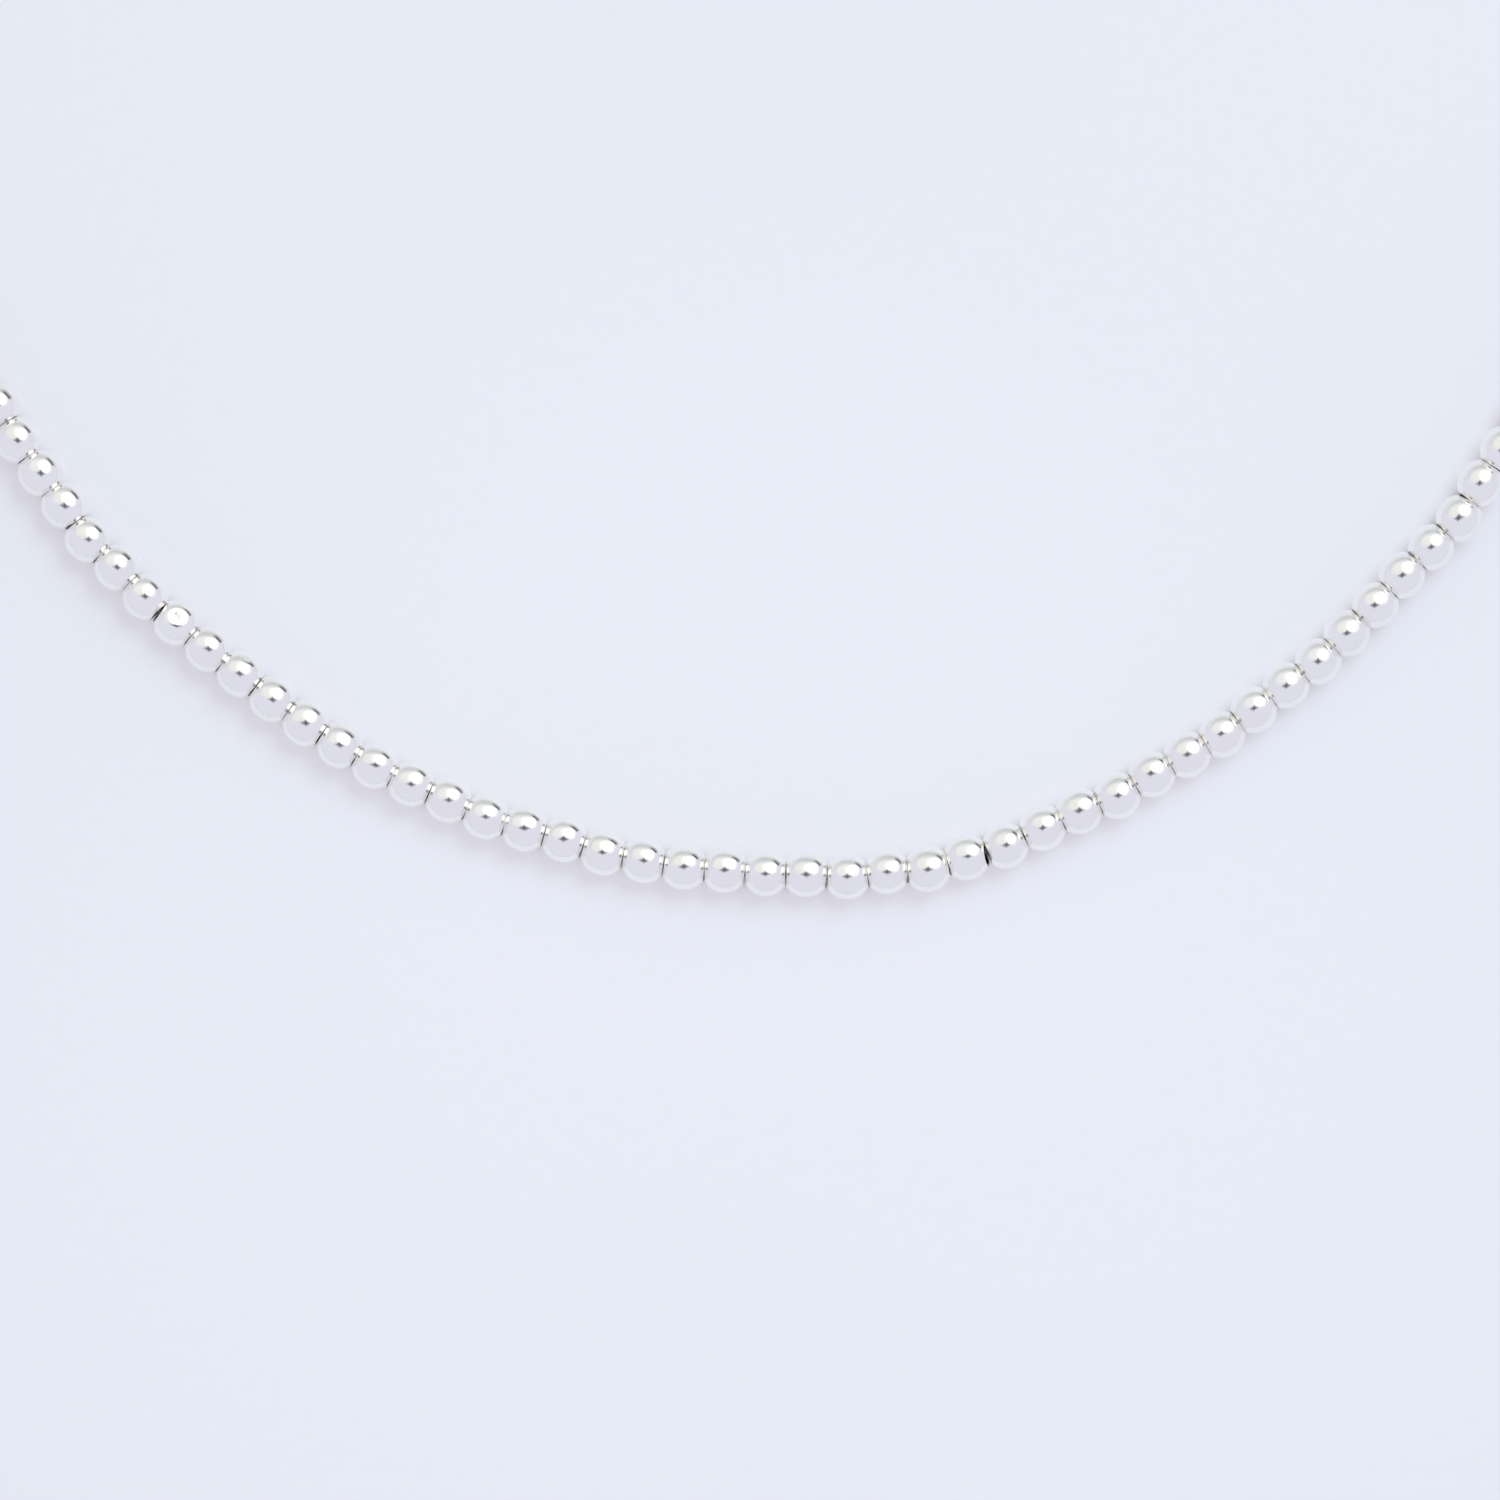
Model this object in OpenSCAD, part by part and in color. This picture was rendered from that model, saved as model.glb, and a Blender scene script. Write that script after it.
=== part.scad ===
// A loop of polished silver beads, strung on a wire and closed by a barrel clasp.
// It lies on a flat surface at z = 0, with the front of the loop at -Y and the clasp at +Y.

/* [Beads] */
// Diameter of a round bead
bead_d = 3; // [2.6:0.1:3.6]
// Thickness of the wall of a hollow bead
bead_wall = 0.3; // [0.2:0.05:0.4]
// Diameter of the flat ring round each end of the hole
lip_d = 1.66; // [1.4:0.02:2]
// Diameter of the hole that is drilled through a bead
hole_d = 1.2; // [1:0.05:1.3]
// Width of the bevel at each mouth of the hole
hole_bevel = 0.08; // [0.04:0.02:0.1]

/* [Stringing] */
// Smallest gap between the flat ends of two beads
bead_gap = 0.18; // [0.14:0.02:0.3]
// How far beads wander sideways, as a share of their free room on the thread
bead_wander = 0.3; // [0:0.05:0.4]
// How far beads turn on the thread, in degrees either way
bead_turn = 1; // [0:0.25:1.5]
// Diameter of the thread
thread_d = 0.5; // [0.3:0.05:0.6]

/* [Clasp] */
// Length of the barrel clasp, which is as thick as a bead
clasp_len = 9; // [8:0.5:14]
// Gap between each end of the clasp and the bead next to it
clasp_gap = 0.24; // [0.2:0.02:0.4]
// Diameter of the socket in each end of the clasp
socket_d = 1.2; // [1:0.05:1.4]
// Depth of each socket
socket_depth = 2.5; // [1.5:0.25:3]
// Space left between an end of the thread and the bottom of its socket
thread_end_gap = 0.3; // [0.2:0.1:0.6]
// Width of the groove round the middle of the clasp
groove_w = 0.4; // [0.2:0.1:0.8]
// Depth of the groove
groove_depth = 0.15; // [0.05:0.05:0.3]

/* [Hidden] */
$fn = 48;
eps = 0.01;

// The middle line of the string as it lies, from the clasp down the left side, along the front
// and up the right side.
ROUTE = [
    [0, 128], [-18, 125], [-33, 118.5], [-46, 107], [-55.5, 91.5], [-61.5, 74.5], [-61, 55.5], [-58, 39],
    [-49, 21.5], [-44.5, 15], [-37.5, 8], [-31, 3], [-24, -1.5], [-17, -4.5], [-8.5, -7], [-1.5, -8],
    [10, -8], [16, -6.5], [22, -4], [28.5, -0.5], [34.5, 3.5], [37.5, 6], [47, 16],
    [57, 36], [60, 54], [60, 72], [55, 88], [45.5, 103.5], [33.5, 116], [18, 125]
];
route_steps = 12;      // curve pieces between two route points
thread_sides = 8;
thread_rings = 80;

// Length of a bead between its two flat rings
bead_len = sqrt(pow(bead_d, 2) - pow(lip_d, 2));

// The route as a smooth closed curve: at each point it heads along the circle through that point
// and its two neighbours.
function unit(v) = v / norm(v);
function lap(i) = (i + len(ROUTE)) % len(ROUTE);
function heading(i) =
    let (back = ROUTE[i] - ROUTE[lap(i - 1)], ahead = ROUTE[lap(i + 1)] - ROUTE[i])
    unit(unit(back) * norm(ahead) + unit(ahead) * norm(back));
function between(i, t) =
    let (p = ROUTE[i], q = ROUTE[lap(i + 1)], reach = norm(q - p))
    p * (2*t*t*t - 3*t*t + 1) + heading(i) * reach * (t*t*t - 2*t*t + t)
    + q * (3*t*t - 2*t*t*t) + heading(lap(i + 1)) * reach * (t*t*t - t*t);

line_chosen = [for (i = [0 : len(ROUTE) - 1], k = [0 : route_steps - 1]) between(i, k / route_steps)];
line_xs = [for (p = line_chosen) p.x];
line_ys = [for (p = line_chosen) p.y];
line_middle = [min(line_xs) + max(line_xs), min(line_ys) + max(line_ys)] / 2;
line = [for (p = concat(line_chosen, [line_chosen[0]])) p - line_middle];

// Places are given by their distance along the line from the middle of the clasp.
line_run = [
    for (k = 0, run = 0; k < len(line); k = k + 1, run = run + norm(line[k % len(line)] - line[k - 1])) run
];
x_along = [for (k = [0 : len(line) - 1]) [line_run[k], line[k].x]];
y_along = [for (k = [0 : len(line) - 1]) [line_run[k], line[k].y]];
loop_len = line_run[len(line) - 1];

function place(run) = let (r = (run + loop_len) % loop_len) [lookup(r, x_along), lookup(r, y_along)];
function direction(run) = unit(place(run + bead_len / 2) - place(run - bead_len / 2));
function aside(run) = let (d = direction(run)) [-d.y, d.x];
function bearing(v) = atan2(v.y, v.x);

// As many beads as fit along the string, with the rest of the room shared out among the gaps.
string_len = loop_len - clasp_len - 2 * clasp_gap;
bead_count = floor((string_len + bead_gap) / (bead_len + bead_gap));
gap = (string_len - bead_count * bead_len) / (bead_count - 1);
left_count = floor(bead_count / 2);
wander = bead_wander * (hole_d - thread_d) / 2;

function bead_run(i) = (clasp_len + bead_len) / 2 + clasp_gap + i * (bead_len + gap);
function bead_place(i) = place(bead_run(i)) + aside(bead_run(i)) * wander * sin(i * 137);
function bead_bearing(i) = bearing(direction(bead_run(i))) + bead_turn * cos(i * 101);

// The clasp lies between the two ends of the string.
clasp_from = place(loop_len - clasp_len / 2);
clasp_to = place(clasp_len / 2);
thread_from = clasp_len / 2 - socket_depth + thread_end_gap;
thread_ring_step = (loop_len - 2 * thread_from) / (thread_rings - 1);

// Half the outline of a ball with two flat ends, to the right of the axis that runs along Y
module ball_outline(d, len) {
    intersection() {
        circle(d = d);
        translate([0, -len / 2]) square([d, len]);
    }
}

// One hollow bead, turned about its hole, which lies along X
module bead() {
    mouth_r = hole_d / 2 + hole_bevel;
    end = bead_len / 2;
    rotate([0, 90, 0])
        rotate_extrude()
            difference() {
                ball_outline(bead_d, bead_len);
                ball_outline(bead_d - 2 * bead_wall, bead_len - 2 * bead_wall);
                polygon([
                    [0, -end - eps], [mouth_r + eps, -end - eps], [hole_d / 2, hole_bevel - end],
                    [hole_d / 2, end - hole_bevel], [mouth_r + eps, end + eps], [0, end + eps]
                ]);
            }
}

module bead_string(first, last) {
    for (i = [first : last])
        translate([bead_place(i).x, bead_place(i).y, bead_d / 2])
            rotate([0, 0, bead_bearing(i)])
                bead();
}

module bead_string_left() {
    color("silver") bead_string(0, left_count - 1);
}

module bead_string_right() {
    color("silver") bead_string(left_count, bead_count - 1);
}

// The wire through all beads, one tube along the line with an end in each socket of the clasp
module thread() {
    runs = [for (k = [0 : thread_rings - 1]) thread_from + k * thread_ring_step];
    points = [
        for (run = runs, k = [0 : thread_sides - 1])
            let (turn = 360 * (k + 0.5) / thread_sides, out = aside(run) * cos(turn) * thread_d / 2)
            [place(run).x + out.x, place(run).y + out.y, bead_d / 2 + sin(turn) * thread_d / 2]
    ];
    last_ring = (thread_rings - 1) * thread_sides;
    walls = [
        for (ring = [0 : thread_rings - 2], k = [0 : thread_sides - 1])
            let (a = ring * thread_sides + k, b = ring * thread_sides + (k + 1) % thread_sides)
            [a, b, b + thread_sides, a + thread_sides]
    ];
    from_cap = [for (k = [thread_sides - 1 : -1 : 0]) k];
    to_cap = [for (k = [0 : thread_sides - 1]) last_ring + k];
    color("dimgray") polyhedron(points, concat(walls, [from_cap, to_cap]));
}

// A barrel with domed ends, a groove where its halves would meet and a socket in each end
module clasp() {
    middle = (clasp_from + clasp_to) / 2;
    color("silver")
        translate([middle.x, middle.y, bead_d / 2])
            rotate([0, 0, bearing(clasp_to - clasp_from)])
                difference() {
                    intersection() {
                        union() {
                            rotate([0, 90, 0]) cylinder(d = bead_d, h = clasp_len - bead_len, center = true);
                            for (side = [-1, 1])
                                translate([side * (clasp_len - bead_len) / 2, 0, 0]) sphere(d = bead_d);
                        }
                        cube([clasp_len, 2 * bead_d, 2 * bead_d], center = true);
                    }
                    for (side = [0, 180])
                        rotate([0, 90, side])
                            translate([0, 0, clasp_len / 2 - socket_depth])
                                cylinder(d = socket_d, h = socket_depth + eps);
                    rotate([0, 90, 0])
                        difference() {
                            cylinder(d = 2 * bead_d, h = groove_w, center = true);
                            cylinder(d = bead_d - 2 * groove_depth, h = groove_w + eps, center = true);
                        }
                }
}

bead_string_left();
bead_string_right();
thread();
clasp();
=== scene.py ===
"""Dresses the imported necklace: polished silver beads on a steel wire, closed by a barrel clasp."""

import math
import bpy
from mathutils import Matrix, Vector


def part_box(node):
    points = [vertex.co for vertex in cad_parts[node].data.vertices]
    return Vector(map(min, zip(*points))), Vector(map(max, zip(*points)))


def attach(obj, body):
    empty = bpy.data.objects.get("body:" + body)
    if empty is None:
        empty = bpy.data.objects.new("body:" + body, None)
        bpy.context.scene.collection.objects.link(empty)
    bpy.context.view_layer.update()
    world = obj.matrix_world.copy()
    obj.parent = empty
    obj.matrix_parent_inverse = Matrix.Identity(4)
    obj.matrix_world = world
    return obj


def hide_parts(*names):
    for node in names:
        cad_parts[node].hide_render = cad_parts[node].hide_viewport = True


bl_info = {
    "name": "Silver Bead Necklace",
    "version": (1, 0, 0),
    "blender": (4, 5, 0),
    "location": "3D View > Sidebar > Necklace",
    "description": "Builds a necklace of polished silver beads over its packed model, with a plain stage",
    "category": "Object",
}

import bmesh
import bpy
import mathutils
import numpy as np
from bpy.props import FloatProperty, FloatVectorProperty, IntProperty, PointerProperty
from bpy.types import Operator, Panel, PropertyGroup

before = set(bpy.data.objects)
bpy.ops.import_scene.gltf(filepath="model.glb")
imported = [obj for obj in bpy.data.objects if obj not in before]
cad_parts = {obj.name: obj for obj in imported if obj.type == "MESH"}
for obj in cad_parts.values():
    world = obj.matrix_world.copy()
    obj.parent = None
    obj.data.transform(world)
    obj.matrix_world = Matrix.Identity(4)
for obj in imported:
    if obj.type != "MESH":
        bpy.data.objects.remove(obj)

MM = 0.001
STRING_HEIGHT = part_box("bead_string_left")[1][2]

# A bead's count runs from 0 beside the clasp down the left side. The photo shows beads 51 to 96.
# Beads that lie askew in their string: degrees turned, anticlockwise seen from above
TURNED_BEADS = {
    57: -5, 58: 5, 59: -1.5, 60: 1.5, 64: -1, 65: 1, 73: -1.5, 74: 1.5, 79: -6.5, 80: 6.5,
    82: -1, 83: 1, 91: -3, 92: 3, 94: -1.5, 95: 1.5,
}

# Beads that lie tipped on the wire, so that one lip shows: degrees by which the end towards higher counts
# is raised
RAISED_BEADS = {58: -8, 79: 11}

# How far beads lie off the smooth line of the string, in hundredths of a millimetre towards the inside of
# the loop, from the first shifted bead on
FIRST_SHIFTED = 52
SHIFTS = (
    8, -4, 12, -6, -6, 2, 0, 1, 15, -15, 0, 1, -9, 15, -5, -11, 12, 2, 2, -4, -12, 14,
    -5, 15, 1, -2, -12, -12, -15, 14, -2, -8, 2, -10, 1, -1, 2, -5, -12, 10, 15, -12, -15, -7,
)

# How far beads lie along the string towards higher counts, in millimetres at these counts
SLIDES = {
    43: 0, 51: -0.12, 57: -0.11, 63: -0.05, 68: -0.01, 75: 0.17, 80: 0.13, 85: 0.14, 89: 0.02, 94: -0.15,
    97: -0.15, 106: 0,
}

# Dents in single beads: bead count, direction out of the bead, depth and reach as shares of its radius
DENTS = (
    (58, (0.08, 0.28, 0.95), 0.12, 0.5),
    (58, (-0.05, 0.36, 0.93), 0.05, 0.3),
    (60, (0.35, 0.7, 0.62), 0.05, 0.25),
    (79, (0.05, 0.3, 0.95), 0.012, 0.16),
    (79, (-0.02, 0.2, 0.98), -0.006, 0.1),
    (94, (0.06, 0.08, 0.99), 0.01, 0.14),
    (96, (-0.35, 0.45, 0.82), 0.015, 0.2),
)

# The joints get painted shade on the side that faces this way, away from the lamp, and painted light on the
# other, where this share of the tarnish is left. The painted shade grows between two places across a lip,
# given as shares of the lip's radius
PAINTED_SHADE_SIDE = (-0.91, -0.42, 0)
LIT_SIDE_TARNISH = 0.4
PAINTED_SHADE_GROWS = (-0.5, 0.4)

# Tarnish of the belly's last rings towards a lip, and of the rings round the lip, through the hole and
# round the other lip
BELLY_TARNISH = (0.1, 0.2, 0.3, 0.45)
HOLE_TARNISH = (0.5, 0.9, 1, 1, 1, 1, 0.9, 0.5)

# Unevenness of a bead: the number of its waves, and how often one runs round at least and at most
SOFT_WAVES = (4, (1.2, 4.5))
FINE_WAVES = (5, (5, 9))

# Room between a bead and the middle of a joint in which it is pressed flat
PRESSED_ROOM = 0.002 * MM

# The floor, and the strip of it that the string covers: places across the strip in millimetres, positive
# inside the loop, and the share of the board's glow that is left there, which paints the string's contact
# shadow. On that side, which is the lamp's, shares above 1 paint light that the beads throw back onto the
# board
FLOOR_REACH = 3.0
FLOOR_IOR = 1.5
STRIP_HEIGHT = 0.002 * MM
STRIP_SHADOW_AND_BOUNCE = {
    -1.4: 1, -1.1: 0.95, -0.8: 0.75, -0.5: 0.4, 0: 0.2, 0.5: 0.4, 0.8: 0.75, 1.1: 1, 1.4: 1.05, 2: 1.045,
    2.6: 1.015, 3.4: 1,
}

# Distance between two rings of the wire, and between two rows of the strip
WIRE_STEP = 0.45 * MM
STRIP_STEP = 1 * MM

# Places along and across a card, and how far from a bead's middle it shows the horizon, as a share of its
# radius
CARD_STEPS = 33
HORIZON = 0.7065

# Width of the camera's sensor in millimetres
SENSOR_WIDTH = 36


class BeadSettings(PropertyGroup):
    diameter: FloatProperty(
        name="Diameter", description="Across the belly of a bead", default=3 * MM, unit="LENGTH"
    )
    length: FloatProperty(
        name="Length", description="Between the flat ends of a bead", default=2.668 * MM, unit="LENGTH"
    )
    lip_diameter: FloatProperty(
        name="Lip Diameter", description="Across the flat end of a bead", default=1.7 * MM, unit="LENGTH"
    )
    hole_diameter: FloatProperty(
        name="Hole Diameter", description="Across the drilled hole", default=1.2 * MM, unit="LENGTH"
    )
    hole_bevel: FloatProperty(
        name="Hole Bevel", description="Width of the bevel at a mouth of the hole",
        default=0.08 * MM, unit="LENGTH",
    )
    lip_rounding: FloatProperty(
        name="Lip Rounding", description="How far the edge of a lip is rounded",
        default=0.015 * MM, unit="LENGTH",
    )
    belly_curve: FloatProperty(
        name="Belly Curve", description="How sharply the belly curves along the hole; 1 is a true ball",
        default=0.77, min=0.4, max=1, subtype="FACTOR",
    )
    ripple: FloatProperty(
        name="Ripple", description="Height of the soft unevenness, as a share of the radius",
        default=0.028, min=0, max=0.04, precision=4,
    )
    fine_ripple: FloatProperty(
        name="Fine Ripple", description="Height of the finer unevenness, as a share of the radius",
        default=0.009, min=0, max=0.01, precision=4,
    )
    loose_turn: FloatProperty(
        name="Loose Turn", description="How far a bead turns on the wire either way",
        default=math.radians(0.9), subtype="ANGLE",
    )
    belly_rings: IntProperty(name="Belly Rings", description="Rings over the belly of a bead", default=19)
    segments: IntProperty(name="Segments", description="Segments round a bead", default=48)


class SilverSettings(PropertyGroup):
    colour: FloatVectorProperty(
        name="Colour", description="Bright polished silver", subtype="COLOR", size=3,
        default=(0.955, 0.94, 0.915),
    )
    worn_colour: FloatVectorProperty(
        name="Worn Colour", description="Silver in faint clouds of wear", subtype="COLOR", size=3,
        default=(0.935, 0.915, 0.88),
    )
    tarnish_colour: FloatVectorProperty(
        name="Tarnish Colour", description="Tarnish in the lips and holes", subtype="COLOR", size=3,
        default=(0.17, 0.122, 0.09),
    )
    polish: FloatProperty(
        name="Polish", description="Roughness of the best polished places", default=0.07, subtype="FACTOR"
    )
    wear: FloatProperty(
        name="Wear", description="Roughness of the most rubbed places", default=0.14, subtype="FACTOR"
    )


class WireSettings(PropertyGroup):
    diameter: FloatProperty(
        name="Diameter", description="Across the stranded wire", default=0.5 * MM, unit="LENGTH"
    )
    strands: IntProperty(name="Strands", description="Strands round the wire", default=6)
    lay_length: FloatProperty(
        name="Lay Length", description="Length in which a strand goes once round",
        default=3.2 * MM, unit="LENGTH",
    )
    strand_depth: FloatProperty(
        name="Strand Depth", description="Depth of the furrows between strands, as a share of the radius",
        default=0.16, subtype="FACTOR",
    )
    colour: FloatVectorProperty(
        name="Colour", description="Coated steel", subtype="COLOR", size=3, default=(0.3, 0.28, 0.25)
    )


class ClaspSettings(PropertyGroup):
    socket_diameter: FloatProperty(
        name="Socket Diameter", description="Across the socket in each end", default=1.2 * MM, unit="LENGTH"
    )
    socket_depth: FloatProperty(
        name="Socket Depth", description="Depth of each socket", default=2.5 * MM, unit="LENGTH"
    )
    groove_width: FloatProperty(
        name="Groove Width", description="Width of the groove at the middle",
        default=0.4 * MM, unit="LENGTH",
    )
    groove_depth: FloatProperty(
        name="Groove Depth", description="Depth of the groove at the middle",
        default=0.15 * MM, unit="LENGTH",
    )
    segments: IntProperty(name="Segments", description="Segments round the clasp", default=96)


class StageSettings(PropertyGroup):
    frame_width: FloatProperty(
        name="Frame Width", description="Width of the view at the height of the beads",
        default=99 * MM, unit="LENGTH",
    )
    frame_centre: FloatVectorProperty(
        name="Frame Centre", description="Point on the floor under the camera", size=2, unit="LENGTH",
        default=(0.713 * MM, -59.819 * MM),
    )
    lens: FloatProperty(name="Lens", description="Focal length in millimetres", default=200)
    floor_colour: FloatVectorProperty(
        name="Floor Colour", description="Smooth pale board", subtype="COLOR", size=3,
        default=(0.29, 0.325, 0.33),
    )
    floor_glow: FloatVectorProperty(
        name="Floor Glow", description="Light that comes up through the board", subtype="COLOR", size=3,
        default=(0.509, 0.47, 0.516),
    )
    glow_fall: FloatProperty(
        name="Glow Fall", description="Share of the board's glow that is lost towards its edges",
        default=0.09,
    )
    room_colour: FloatVectorProperty(
        name="Room Colour", description="Soft light from the whole room", subtype="COLOR", size=3,
        default=(0.76, 0.77, 0.89),
    )
    lamp_colour: FloatVectorProperty(
        name="Lamp Colour", description="Light of the large soft lamp", subtype="COLOR", size=3,
        default=(1, 1, 1),
    )
    lamp_strength: FloatProperty(
        name="Lamp Strength", description="Brightness of the soft lamp", default=1.35
    )
    wall_colour: FloatVectorProperty(
        name="Wall Colour", description="Pale wall beside the lamp", subtype="COLOR", size=3,
        default=(0.88, 0.9, 0.885),
    )
    shade_colour: FloatVectorProperty(
        name="Shade Colour", description="Dim far side of the room, low behind the lamp", subtype="COLOR",
        size=3, default=(0.6, 0.64, 0.625),
    )
    stand_colour: FloatVectorProperty(
        name="Stand Colour", description="Dark stand low at the right", subtype="COLOR", size=3,
        default=(0.07, 0.07, 0.08),
    )
    fill_colour: FloatVectorProperty(
        name="Fill Colour", description="Light of the soft box that throws the shadows", subtype="COLOR",
        size=3, default=(0.62, 0.86, 1),
    )
    fill_power: FloatProperty(name="Fill Power", description="Power of the soft box in watts", default=7.4)
    fill_size: FloatProperty(
        name="Fill Size", description="Side of the soft box", default=0.6, unit="LENGTH"
    )
    fill_distance: FloatProperty(
        name="Fill Distance", description="From the frame's centre to the soft box",
        default=1.2, unit="LENGTH",
    )
    fill_turn: FloatProperty(
        name="Fill Turn", description="Where the soft box hangs, anticlockwise from the right",
        default=math.radians(51), subtype="ANGLE",
    )
    fill_tilt: FloatProperty(
        name="Fill Tilt", description="How far the soft box hangs from straight above",
        default=math.radians(34), subtype="ANGLE",
    )
    camera_colour: FloatVectorProperty(
        name="Camera Colour", description="Dark underside of the camera", subtype="COLOR", size=3,
        default=(0.14, 0.145, 0.18),
    )


def unit(vectors):
    return vectors / np.linalg.norm(vectors, axis=-1, keepdims=True)


def smooth_step(values):
    values = np.clip(values, 0, 1)
    return values * values * (3 - 2 * values)


def new_piece(name, vertices, faces):
    """A smooth mesh object in the scene."""
    mesh = bpy.data.meshes.new(name)
    mesh.from_pydata(vertices.tolist(), [], faces.tolist())
    mesh.polygons.foreach_set("use_smooth", [True] * len(mesh.polygons))
    piece = bpy.data.objects.new(name, mesh)
    bpy.context.scene.collection.objects.link(piece)
    return piece


def grid_faces(rings, segments, closed_rings):
    """Quads between rings that are each closed. The last ring also meets the first if asked."""
    rows = rings if closed_rings else rings - 1
    ring, segment = np.meshgrid(np.arange(rows), np.arange(segments), indexing="ij")
    here, there = ring * segments, (ring + 1) % rings * segments
    beside = (segment + 1) % segments
    quads = np.stack([here + segment, there + segment, there + beside, here + beside], axis=-1)
    return quads.reshape(-1, 4)


def mark_sharp_rings(mesh, ring_of_vertex, sharp_rings):
    """Edges that run along one of the sharp rings split the shading."""
    ends = np.empty(len(mesh.edges) * 2, int)
    mesh.edges.foreach_get("vertices", ends)
    first, second = ring_of_vertex[ends].reshape(-1, 2).T
    mesh.edges.foreach_set("use_edge_sharp", (first == second) & np.isin(first, sharp_rings))


def round_body(profile, segments):
    """Points of a profile of places along X and radii that is turned about X, ring by ring."""
    angles = np.arange(segments) * math.tau / segments
    return np.stack([
        np.repeat(profile[:, 0, None], segments, 1),
        profile[:, 1, None] * np.cos(angles),
        profile[:, 1, None] * np.sin(angles),
    ], axis=-1).reshape(-1, 3)


def set_shares(mesh, name, values):
    """Gives each vertex a share, such as of tarnish or glow, that the mesh's material reads by name."""
    mesh.attributes.new(name, "FLOAT", "POINT").data.foreach_set("value", values.astype(np.float32).ravel())


def welded_triangles(node):
    """Corner points of a CAD node, and its triangles by the number of each point."""
    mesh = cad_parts[node].data
    mesh.calc_loop_triangles()
    points = np.empty(len(mesh.vertices) * 3, np.float32)
    mesh.vertices.foreach_get("co", points)
    triangles = np.empty(len(mesh.loop_triangles) * 3, int)
    mesh.loop_triangles.foreach_get("vertices", triangles)
    rounded = np.round(points.reshape(-1, 3).astype(float), 6)
    unique, number = np.unique(rounded, axis=0, return_inverse=True)
    return unique, number.reshape(-1)[triangles].reshape(-1, 3)


def surface(points, triangles):
    """Middle, normal and area of each triangle. The normal is as long as the area is large."""
    corners = points[triangles]
    normals = np.cross(corners[:, 1] - corners[:, 0], corners[:, 2] - corners[:, 0]) / 2
    return corners.mean(1), normals, np.linalg.norm(normals, axis=1)


def part_labels(point_count, triangles):
    """The lowest point number that each point is joined to through triangles."""
    label = np.arange(point_count)
    while True:
        lower = label.copy()
        np.minimum.at(lower, triangles.ravel(), np.repeat(label[triangles].min(1), 3))
        lower = lower[lower]
        if (lower == label).all():
            return label
        label = lower


def cad_beads(node):
    """Centre and heading of each bead of a CAD string, in order from the clasp down the left side.

    A bead is one joined part of the mesh. Its centre is the middle of its surface, and it heads along the
    level direction that the least of its surface faces."""
    points, triangles = welded_triangles(node)
    labels = part_labels(len(points), triangles)[triangles[:, 0]]
    middles, normals, areas = surface(points, triangles)
    found = []
    for label in np.unique(labels):
        own = (labels == label) & (areas > 0)
        centre = (middles[own] * areas[own, None]).sum(0) / areas[own].sum()
        level = normals[own, :2]
        spread = (level / areas[own, None]).T @ level
        facing = math.atan2(2 * spread[0, 1], spread[0, 0] - spread[1, 1]) / 2
        found.append((centre, facing + math.pi / 2))
    found.sort(key=lambda bead: (math.atan2(bead[0][1], bead[0][0]) - math.pi / 2) % math.tau)
    return found


def laid_beads(beads):
    """Centre and heading of every bead as it lies in the photo, and the number of beads in each string."""
    strings = [cad_beads(f"bead_string_{side}") for side in ("left", "right")]
    found = strings[0] + strings[1]
    slides = np.interp(range(len(found)), list(SLIDES), list(SLIDES.values())) * MM
    laid = []
    for count, (centre, heading) in enumerate(found):
        loose = beads.loose_turn * np.random.default_rng(count).uniform(-1, 1)
        turn = math.radians(TURNED_BEADS.get(count, 0))
        inward = unit(np.array([-centre[0], -centre[1], 0]))
        onward = unit(found[min(count + 1, len(found) - 1)][0] - found[max(count - 1, 0)][0])
        # A CAD bead has no front end, so its heading may point back along the string
        if math.cos(heading) * onward[0] + math.sin(heading) * onward[1] < 0:
            heading += math.pi
        laid.append((centre + shift_of(count) * inward + slides[count] * onward, heading + turn + loose))
    return laid, [len(string) for string in strings]


def bead_profile(beads):
    """Place along the axis and radius of each ring: over the belly, round a lip, back through the hole."""
    radius, lip, hole = beads.diameter / 2, beads.lip_diameter / 2, beads.hole_diameter / 2
    end = beads.length / 2
    # The belly is radius * (1 - low * t^2 - high * t^4), so it is flatter than a ball and meets the lip
    reach = end / radius
    low = beads.belly_curve / 2
    high = (1 - lip / radius - low * reach**2) / reach**4
    fine = np.linspace(0, reach, 400)
    tilt = np.arctan(2 * low * fine + 4 * high * fine**3)
    edge = reach - beads.lip_rounding / radius
    wanted = np.linspace(0, np.interp(edge, fine, tilt), beads.belly_rings // 2 + 1)
    half = np.interp(wanted, tilt, fine)
    along = np.concatenate([-half[:0:-1], half])
    belly = radius * (1 - low * along**2 - high * along**4)
    rounding = beads.lip_rounding
    round_lip = [(end - rounding * 0.3, lip - rounding * 0.03), (end, lip - rounding * 0.8)]
    mouth = [(end, hole + beads.hole_bevel), (end - beads.hole_bevel, hole)]
    last_side = round_lip + mouth
    first_side = [(-place, size) for place, size in reversed(last_side)]
    rings = list(zip(along * radius, belly)) + last_side + first_side
    return np.array(rings)


def ripples(directions, rng, waves, turns):
    """Soft unevenness over a bead, between about -1 and 1, that follows none of its rings."""
    poles = unit(rng.normal(size=(waves, 3)))
    counts = rng.uniform(*turns, waves)
    phases = rng.uniform(0, math.tau, waves)
    return np.cos(directions @ poles.T * counts + phases).mean(-1)


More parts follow.
